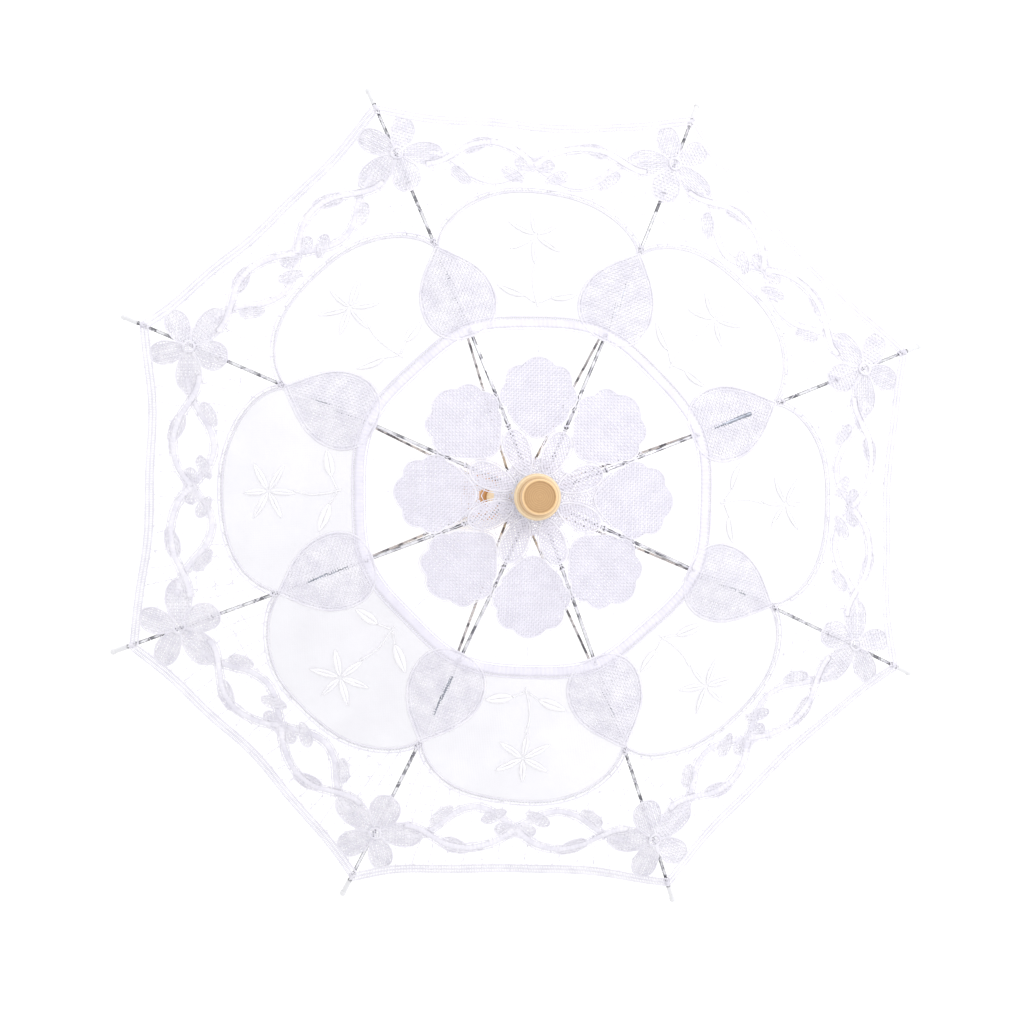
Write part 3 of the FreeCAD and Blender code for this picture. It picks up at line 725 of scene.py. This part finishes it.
def lawn_mesh():
    """The fine lawn round one rib: from the ring out to the scallops, and open under the teardrop."""
    angle = np.linspace(-1, 1, 61) * HALF_GORE
    radius = ring_radius(angle)
    inner = polar(radius, angle)
    outer = scallop_edge()
    seam = np.linspace(inner[-1], outer[0], 32)[1:-1]
    outline = np.vstack([inner, seam, outer, seam[::-1] * (1, -1)])
    hole = tear_outline(inset=0.6)[:-1]
    reaches = np.arange(*LAWN_REACH, LAWN_SPACING)
    sides = np.arange(-LAWN_HALF, LAWN_HALF, LAWN_SPACING)
    grid = np.stack(np.meshgrid(reaches, sides), 2).reshape(-1, 2)
    grid = grid + LAWN_SPACING * 0.2 * random.uniform(-1, 1, grid.shape)
    gap = min_distance(grid, np.vstack([outline, hole]))
    grid = grid[inside(grid, outline) & ~inside(grid, hole) & (gap > LAWN_SPACING * 0.4)]
    points = np.vstack([outline, hole, grid])
    first, second = len(outline), len(hole)
    edges = [(i, (i + 1) % first) for i in range(first)]
    edges += [(first + i, first + (i + 1) % second) for i in range(second)]
    found = delaunay_2d_cdt([Vector(p) for p in points], edges, [], 0, 1e-4)
    plan = np.array([tuple(p) for p in found[0]])
    faces = np.array([face for face in found[2] if len(face) == 3])
    middle = plan[faces].mean(1)
    faces = faces[inside(middle, outline) & ~inside(middle, hole)]
    a, b, c = (plan[faces[:, i]] for i in range(3))
    area = np.abs((b - a)[:, 0] * (c - a)[:, 1] - (b - a)[:, 1] * (c - a)[:, 0]) / 2
    faces = faces[area > LEAST_AREA]
    used, places = np.unique(faces, return_inverse=True)
    plan = np.hstack([plan[used], np.zeros((len(used), 1))])
    return mesh_of("lawn_plan", plan, places.reshape(-1, 3))


def cut_size(lawn):
    """The lawn's length, width and area as it was cut: its plan, unrolled along the bent rib, in metres."""
    points = plan_points(lawn)
    points[:, 0] = BEND_RADIUS * np.arcsin((points[:, 0] - BEND_X) / BEND_RADIUS)
    corners = points[np.array([tuple(face.vertices) for face in lawn.polygons])]
    doubled = np.cross(corners[:, 1] - corners[:, 0], corners[:, 2] - corners[:, 0])[:, 2]
    length, width = (points.max(0) - points.min(0))[:2] * MM
    return (float(length), float(width)), float(np.abs(doubled).sum() / 2) * MM * MM


def min_distance(points, others):
    """Each point's distance to the nearest of the others."""
    return np.sqrt(((points[:, None, :] - others[None, :, :]) ** 2).sum(2)).min(1)


# ---- materials ----

class Paint:
    """A node material: a principled shader, and short helpers for the textures that feed it."""

    def __init__(self, name, color, roughness, **sockets):
        self.material = bpy.data.materials.new(name)
        self.material.use_nodes = True
        self.tree = self.material.node_tree
        self.shader = self.tree.nodes["Principled BSDF"]
        self.shader.inputs["Base Color"].default_value = (*color, 1)
        self.shader.inputs["Roughness"].default_value = roughness
        for socket, value in sockets.items():
            self.shader.inputs[socket.replace("_", " ")].default_value = value

    def node(self, kind, **values):
        made = self.tree.nodes.new(kind)
        for key, value in values.items():
            if hasattr(made, key):
                setattr(made, key, value)
            else:
                made.inputs[key.replace("_", " ")].default_value = value
        return made

    def link(self, a, b):
        self.tree.links.new(a, b)

    def place(self, scale, source="Object"):
        coordinates = self.node("ShaderNodeTexCoord")
        mapping = self.node("ShaderNodeMapping")
        mapping.inputs["Scale"].default_value = scale
        self.link(coordinates.outputs[source], mapping.inputs["Vector"])
        return mapping.outputs["Vector"]

    def noise(self, size, scale=(1, 1, 1), detail=3.0):
        noise = self.node("ShaderNodeTexNoise", Scale=size, Detail=detail)
        self.link(self.place(scale), noise.inputs["Vector"])
        return noise.outputs["Fac"]

    def wave(self, scale, size, direction, kind="BANDS", source="Object", distortion=0.0):
        wave = self.node("ShaderNodeTexWave", wave_type=kind, Scale=size, Distortion=distortion)
        if kind == "BANDS":
            wave.bands_direction = direction
        else:
            wave.rings_direction = direction
        self.link(self.place(scale, source), wave.inputs["Vector"])
        return wave.outputs["Fac"]

    def ramp(self, fac, *stops):
        ramp = self.node("ShaderNodeValToRGB")
        while len(ramp.color_ramp.elements) < len(stops):
            ramp.color_ramp.elements.new(0.5)
        for element, (at, color) in zip(ramp.color_ramp.elements, stops):
            element.position = at
            element.color = (*color, 1)
        self.link(fac, ramp.inputs["Fac"])
        return ramp.outputs["Color"]

    def blend(self, fac, a, b, mode="MIX"):
        mix = self.node("ShaderNodeMix", data_type="RGBA", blend_type=mode)
        for value, name in ((fac, "Factor"), (a, "A"), (b, "B")):
            socket = [s for s in mix.inputs if s.name == name and s.enabled][0]
            if hasattr(value, "links"):
                self.link(value, socket)
            else:
                socket.default_value = value
        return [s for s in mix.outputs if s.enabled][0]

    def color(self, value):
        self.link(value, self.shader.inputs["Base Color"])

    def rough(self, fac, low, high):
        spread = self.node("ShaderNodeMapRange")
        spread.inputs["To Min"].default_value = low
        spread.inputs["To Max"].default_value = high
        self.link(fac, spread.inputs["Value"])
        self.link(spread.outputs["Result"], self.shader.inputs["Roughness"])

    def bump(self, fac, strength, distance):
        bump = self.node("ShaderNodeBump", Strength=strength, Distance=distance)
        self.link(fac, bump.inputs["Height"])
        if self.shader.inputs["Normal"].links:
            self.link(self.shader.inputs["Normal"].links[0].from_socket, bump.inputs["Normal"])
        self.link(bump.outputs["Normal"], self.shader.inputs["Normal"])


def cotton(name, light, dark, twist):
    """Cotton thread with slight changes of tone and, where twist isn't zero, a diagonal twist."""
    paint = Paint(name, light, 0.85, Sheen_Weight=0.25, Sheen_Roughness=0.5)
    paint.color(paint.ramp(paint.noise(size=160), (0.3, dark), (0.7, light)))
    paint.bump(paint.noise(size=2600), strength=0.35, distance=0.0002)
    if twist:
        paint.bump(paint.wave((1, 1, 1), twist, "DIAGONAL", source="UV"), strength=0.4, distance=0.0002)
    return paint.material


def lawn_cloth():
    """Thin lawn with a fine woven grain, which lets what is under it show."""
    paint = Paint("lawn", (0.57, 0.56, 0.61), 0.9, Sheen_Weight=0.2, Alpha=0.6)
    cloudy = paint.noise(size=45)
    paint.color(paint.ramp(cloudy, (0.3, (0.54, 0.53, 0.585)), (0.7, (0.6, 0.59, 0.645))))
    for direction in ("X", "Y"):
        paint.bump(paint.wave((1, 1, 1), 420, direction), strength=0.3, distance=0.0001)
    return paint.material


def turned_wood(name, pale, deep, ring_pitch, gloss, bands=()):
    """Wood turned about Z: fine lathe rings over long grain, and bands out from the axis, which on the
    finial give its tones and a painted highlight on its rim.
    """
    paint = Paint(name, pale, gloss, Coat_Weight=0.35, Coat_Roughness=0.25)
    grain = paint.noise(scale=(300, 300, 22), size=3, detail=6.0)
    middle = tuple((a + b) / 2 for a, b in zip(pale, deep))
    base = paint.ramp(grain, (0.2, middle), (0.8, pale))
    rings = paint.wave((1, 1, 0.0), FULL_TURN / ring_pitch / WAVE_RATE, "Z", "RINGS", distortion=0.25)
    lined = paint.blend(0.32, base, paint.ramp(rings, (0.2, deep), (0.8, pale)))
    specks = paint.noise(scale=(900, 900, 60), size=2)
    if bands:
        # The bands multiply the colour by distance from the axis; above 1 they brighten it, which paints
        # the finial's rim highlight.
        axis = paint.node("ShaderNodeVectorMath", operation="LENGTH")
        paint.link(paint.place((CM_PER_METRE, CM_PER_METRE, 0)), axis.inputs[0])
        lined = paint.blend(1.0, lined, paint.ramp(axis.outputs["Value"], *bands), "MULTIPLY")
    specked = paint.ramp(specks, (0.62, (0, 0, 0)), (0.78, (0.35, 0.35, 0.35)))
    paint.color(paint.blend(specked, lined, (*deep, 1)))
    paint.rough(grain, gloss - 0.08, gloss + 0.12)
    paint.bump(rings, strength=0.12, distance=0.0003)
    paint.bump(grain, strength=0.1, distance=0.0003)
    return paint.material


def long_wood(name, pale, deep, gloss):
    """Straight-grained stick wood, with the grain along Z."""
    paint = Paint(name, pale, gloss, Coat_Weight=0.2, Coat_Roughness=0.3)
    grain = paint.noise(scale=(260, 260, 9), size=3, detail=6.0)
    paint.color(paint.ramp(grain, (0.3, deep), (0.7, pale)))
    paint.rough(grain, gloss - 0.05, gloss + 0.15)
    paint.bump(grain, strength=0.2, distance=0.0003)
    return paint.material


def metal(name, bright, dull, roughness):
    """Metal that is worn dull in patches."""
    paint = Paint(name, bright, roughness, Metallic=1.0)
    worn = paint.noise(size=300, detail=5.0)
    paint.color(paint.ramp(worn, (0.35, dull), (0.65, bright)))
    paint.rough(paint.noise(size=900), roughness - 0.07, roughness + 0.12)
    paint.bump(paint.noise(size=1500), strength=0.12, distance=0.0002)
    return paint.material


def rod_steel():
    """Spring-steel rod with painted light: painted reflections that are dark in some lengths and bright in
    others, a painted highlight along its top and painted shade on its flanks.
    """
    paint = Paint("rib_steel", (0.5, 0.5, 0.52), 0.25, Metallic=1.0)
    # Painted reflections: the colour is dark in some lengths of the rod and bright in others, as broken
    # reflections on a bent rod.
    lengths = paint.noise(size=210, detail=1.0)
    fine = paint.noise(size=900, detail=4.0)
    base = paint.ramp(lengths, (0.4, (0.12, 0.12, 0.14)), (0.52, (0.8, 0.8, 0.83)))
    base = paint.blend(0.25, base, paint.ramp(fine, (0.3, (0.1, 0.1, 0.12)), (0.7, (0.7, 0.7, 0.72))))
    # Painted highlight and shade: where the rod's normal points up its colour stays bright, and its flanks
    # are darkened.
    facing = paint.node("ShaderNodeSeparateXYZ")
    paint.link(paint.node("ShaderNodeTexCoord").outputs["Normal"], facing.inputs["Vector"])
    painted_top_highlight_and_flank_shade = paint.ramp(facing.outputs["Z"], (0.5, (0.2, 0.2, 0.22)), (0.74, (1.0, 1.0, 1.0)))
    paint.color(paint.blend(1.0, base, painted_top_highlight_and_flank_shade, "MULTIPLY"))
    paint.rough(lengths, low=0.42, high=0.18)
    paint.bump(fine, strength=0.12, distance=0.0002)
    return paint.material


def moulded(name, light, dark, roughness):
    """Moulded plastic, faintly cloudy."""
    paint = Paint(name, light, roughness)
    cloudy = paint.noise(size=120)
    paint.color(paint.ramp(cloudy, (0.35, dark), (0.65, light)))
    paint.rough(cloudy, roughness - 0.06, roughness + 0.1)
    paint.bump(paint.noise(size=1800), strength=0.1, distance=0.0002)
    return paint.material


def enamel():
    """Pale enamel with small darker chips."""
    paint = Paint("enamel", (0.6, 0.6, 0.62), 0.25, Coat_Weight=0.4)
    chips = paint.noise(size=700, detail=6.0)
    paint.color(paint.ramp(chips, (0.3, (0.4, 0.4, 0.42)), (0.36, (0.6, 0.6, 0.62))))
    paint.rough(chips, low=0.4, high=0.2)
    return paint.material


# The finial's colours by distance from its axis, in centimetres: the disc's tone, a pale band on the rim
# that is a painted highlight, the flange's tone, and a painted highlight that lightens its edge.
FINIAL_TONES_AND_HIGHLIGHTS = (
    (0.0, (0.9, 0.86, 0.72)), (0.67, (0.86, 0.82, 0.68)), (0.7, (1.45, 1.6, 1.6)), (0.76, (1.45, 1.6, 1.7)),
    (0.8, (0.95, 0.98, 0.98)), (0.86, (1.15, 1.3, 1.45)), (0.95, (1.45, 1.8, 2.2)),
)
LIGHT_COTTON = (0.78, 0.764, 0.82)
WEAVE_COTTON = (0.67, 0.652, 0.73)
DARK_COTTON = (0.61, 0.592, 0.67)

materials = {
    "lawn": lawn_cloth(),
    "fill": cotton("fill_thread", WEAVE_COTTON, DARK_COTTON, twist=0),
    "web": cotton("web_thread", WEAVE_COTTON, DARK_COTTON, twist=0),
    "tape": cotton("tape_thread", LIGHT_COTTON, WEAVE_COTTON, twist=22),
    "bride": cotton("bride_thread", LIGHT_COTTON, DARK_COTTON, twist=0),
    "embroidery": cotton("satin_stitch", (0.88, 0.87, 0.9), (0.8, 0.79, 0.83), twist=30),
    "finial_wood": turned_wood(
        "finial_wood", (0.53, 0.34, 0.18), (0.36, 0.2, 0.09),
        ring_pitch=0.0009, gloss=0.42, bands=FINIAL_TONES_AND_HIGHLIGHTS,
    ),
    "honey_wood": turned_wood(
        "honey_wood", (0.52, 0.25, 0.08), (0.34, 0.14, 0.04), ring_pitch=0.002, gloss=0.38,
    ),
    "pale_wood": long_wood("pale_wood", (0.74, 0.55, 0.32), (0.58, 0.38, 0.18), gloss=0.45),
    "white_plastic": moulded("white_plastic", (0.64, 0.64, 0.655), (0.57, 0.57, 0.59), roughness=0.38),
    "white_enamel": enamel(),
    "steel": metal("steel", (0.62, 0.62, 0.64), (0.4, 0.4, 0.43), roughness=0.28),
    "rib_steel": rod_steel(),
    "clip_steel": metal("clip_steel", (0.34, 0.36, 0.42), (0.16, 0.17, 0.2), roughness=0.35),
}


def paint_nodes():
    """Gives each CAD node its slot's material. The ribs and stretchers have a steel of their own."""
    for part in frame["record"]["subparts"]:
        name = part["node"]
        finish = part["material_slot"]
        if finish not in materials:
            continue
        if name.startswith(("rib_", "stretcher_")) and not name.startswith("rib_clip"):
            finish = "rib_steel"
        node = frame["nodes"][name]
        node.data.materials.clear()
        node.data.materials.append(materials[finish])


# ---- the pieces ----

def rib_angle(count):
    """A rib's direction. The count starts at 0."""
    return FIRST_RIB + count * 2 * HALF_GORE


def lace_plans():
    """The plan mesh of each kind of lace work, cut to one wedge."""
    fill, tapes, brides, stitches = Work(), Work(), Work(), Work()
    make_rosette(fill, tapes, brides)
    make_star(fill, tapes, brides)
    make_ring(fill)
    make_teardrop(tapes)
    make_scallops(tapes)
    make_flower(tapes)
    make_border(tapes, brides)
    make_leaves(tapes)
    make_net(brides)
    make_hem(tapes)
    make_sprays(stitches)
    kinds = {"fill": fill, "tape": tapes, "bride": brides, "embroidery": stitches}
    return {kind: trimmed(mesh_of(f"{kind}_plan", *work.arrays())) for kind, work in kinds.items()}


def web_plan(side, hole):
    """The plan mesh of one gore's close lace."""
    work = Work()
    make_web(work, side, hole)
    return trimmed(mesh_of("web_plan", *work.arrays()))


def add_piece(mesh, material):
    """A piece that shows the mesh in one material, under the mesh's name."""
    mesh.materials.append(material)
    piece = bpy.data.objects.new(mesh.name, mesh)
    bpy.context.scene.collection.objects.link(piece)
    return piece


def lay(kind, plan, count):
    """One wedge's share of a kind of lace work, draped over its rib and riding on it."""
    angle = rib_angle(count)
    mesh = plan.copy()
    mesh.name = f"{kind}_{count + 1}"
    points = drape(plan_points(plan), angle)
    mesh.vertices.foreach_set("co", points.astype(np.float32).ravel())
    mesh.update()
    piece = add_piece(mesh, materials[kind])
    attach(piece, f"rib_{count + 1}")
    return piece


def fold(piece):
    """Gives the piece a mesh of its own."""
    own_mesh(piece)


def make_lace():
    """Each rib's lawn, in place of the hidden canopy panel, with the lace sewn to it."""
    plans = lace_plans()
    plans["lawn"] = lawn_mesh()
    flat, area = cut_size(plans["lawn"])
    for count in range(RIBS):
        pieces = {kind: lay(kind, plan, count) for kind, plan in plans.items()}
        if count + 1 in WEBS:
            pieces["web"] = lay("web", web_plan(*WEBS[count + 1]), count)
        for piece in pieces.values():
            fold(piece)
        cloth = pieces.pop("lawn")
        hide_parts(f"canopy_{count + 1}")


def make_collar():
    """The lace gathered round the neck, between the notch and the finial, with a short frill."""
    work = Work()
    for radius in COLLAR_CORDS:
        around = np.linspace(0, FULL_TURN, COLLAR_STEPS, endpoint=False)
        circle = polar(radius, around)
        strand(work, circle, height=COLLAR_HEIGHT + 0.05, wide=0.5, thick=0.22, sides=6, closed=True)
        zigzag(work, circle, near=-0.8, far=0.8, pitch=1.1, radius=0.16, height=COLLAR_HEIGHT, closed=True)
    around = np.linspace(0, FULL_TURN, FRILL_STEPS, endpoint=False)
    for drop, grow in FRILL_ROWS:
        wave = 0.35 * np.cos(3 * RIBS * around)
        radius = FRILL_RADIUS + grow + wave * drop / 2
        circle = polar(radius, around)
        strand(work, circle, height=COLLAR_HEIGHT + 0.1 - drop, wide=0.2, thick=0.22, sides=4, closed=True)
    for angle in around[::3]:
        spoke = np.array([(9.6, 0.0), (10.3, 0.0), (10.7, 0.0)])
        strand(work, turn(spoke, angle), height=COLLAR_HEIGHT + np.array([0.1, -0.8, -2.2]), wide=0.18)
    points, faces, marks = work.arrays()
    mesh = mesh_of("collar", points * MM, faces, marks)
    piece = add_piece(mesh, materials["tape"])
    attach(piece, "shaft")


def coil(work, start_reach, turns, length):
    """Turns of thread round a rib and the cloth on it, in the rib's plane, as (out, across, up)."""
    steps = np.linspace(0, 1, turns * TIE_STEPS)
    slope = math.asin((start_reach - BEND_X) / BEND_RADIUS) + steps * length / BEND_RADIUS
    around = steps * turns * FULL_TURN
    zero = np.zeros_like(steps)
    normal = np.stack([np.sin(slope), zero, np.cos(slope)], 1)
    ahead = np.stack([np.cos(slope), zero, -np.sin(slope)], 1)
    centre = np.array([BEND_X, 0, BEND_Z]) + normal * (BEND_RADIUS + TIE_LIFT)
    out = normal * (TIE_HALF_HEIGHT * np.cos(around))[:, None]
    out[:, 1] = TIE_HALF_WIDTH * np.sin(around)
    path = centre + out
    away = out / np.linalg.norm(out, axis=1)[:, None]
    corner = (np.arange(TIE_SIDES) * FULL_TURN / TIE_SIDES)[None, :, None]
    ring = away[:, None, :] * np.cos(corner) + ahead[:, None, :] * np.sin(corner)
    points = (path[:, None, :] + TIE_RADIUS * ring).reshape(-1, 3)
    work.add(points, tube_faces(len(steps), TIE_SIDES), tube_marks(steps * turns, TIE_SIDES))


def make_ties():
    """The stitches that hold the lace to each rib and the whipping at its ferrule."""
    work = Work()
    for reach, turns, length in TIES:
        coil(work, reach, turns, length)
    points, faces, marks = work.arrays()
    for count in range(RIBS):
        angle = rib_angle(count)
        placed = points.copy()
        placed[:, :2] = turn(points[:, :2], angle)
        mesh = mesh_of(f"ties_{count + 1}", placed * MM, faces, marks)
        piece = add_piece(mesh, materials["tape"])
        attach(piece, f"rib_{count + 1}")


# ---- light, floor and camera ----

def make_floor():
    corners = FLOOR_HALF * np.array([(-1, -1, 0), (1, -1, 0), (1, 1, 0), (-1, 1, 0)], float)
    mesh = mesh_of("floor", corners, np.array([[0, 1, 2, 3]]))
    paint = Paint("floor_paint", (0.93, 0.93, 0.93), 0.9)
    floor = add_piece(mesh, paint.material)
    floor.location.z = -FLOOR_DROP


def make_light():
    data = bpy.data.lights.new("key", "AREA")
    data.shape = "DISK"
    data.size = KEY_SIZE
    data.energy = KEY_POWER
    light = bpy.data.objects.new("key", data)
    bpy.context.scene.collection.objects.link(light)
    light.location = KEY_PLACE
    light.rotation_mode = "QUATERNION"
    light.rotation_quaternion = (Vector(KEY_TARGET) - Vector(KEY_PLACE)).to_track_quat("-Z", "Y")


def make_world():
    world = bpy.data.worlds.new("studio")
    world.use_nodes = True
    world.node_tree.nodes["Background"].inputs["Color"].default_value = (1, 1, 1, 1)
    world.node_tree.nodes["Background"].inputs["Strength"].default_value = SKY_STRENGTH
    bpy.context.scene.world = world


def make_camera():
    """Nearly above the parasol, tilted and turned as the photograph's camera is."""
    back = Vector((-math.sin(CAMERA_TILT), 0, math.cos(CAMERA_TILT)))
    right = Vector((math.cos(CAMERA_TILT), 0, math.sin(CAMERA_TILT)))
    data = bpy.data.cameras.new("camera")
    data.lens = CAMERA_LENS
    data.sensor_width = 36
    data.shift_x, data.shift_y = CAMERA_SHIFT
    camera = bpy.data.objects.new("camera", data)
    bpy.context.scene.collection.objects.link(camera)
    tilted = Matrix((right, Vector((0, 1, 0)), back)).transposed().to_4x4()
    around = Matrix.Rotation(CAMERA_TURN, 4, "Z")
    away = Matrix.Translation((0, 0, CAMERA_DISTANCE))
    camera.matrix_world = Matrix.Translation(CAMERA_TARGET) @ around @ tilted @ away
    bpy.context.scene.camera = camera


paint_nodes()
make_lace()
make_collar()
make_ties()
make_floor()
make_light()
make_world()
make_camera()
bpy.context.scene.view_settings.view_transform = "Standard"
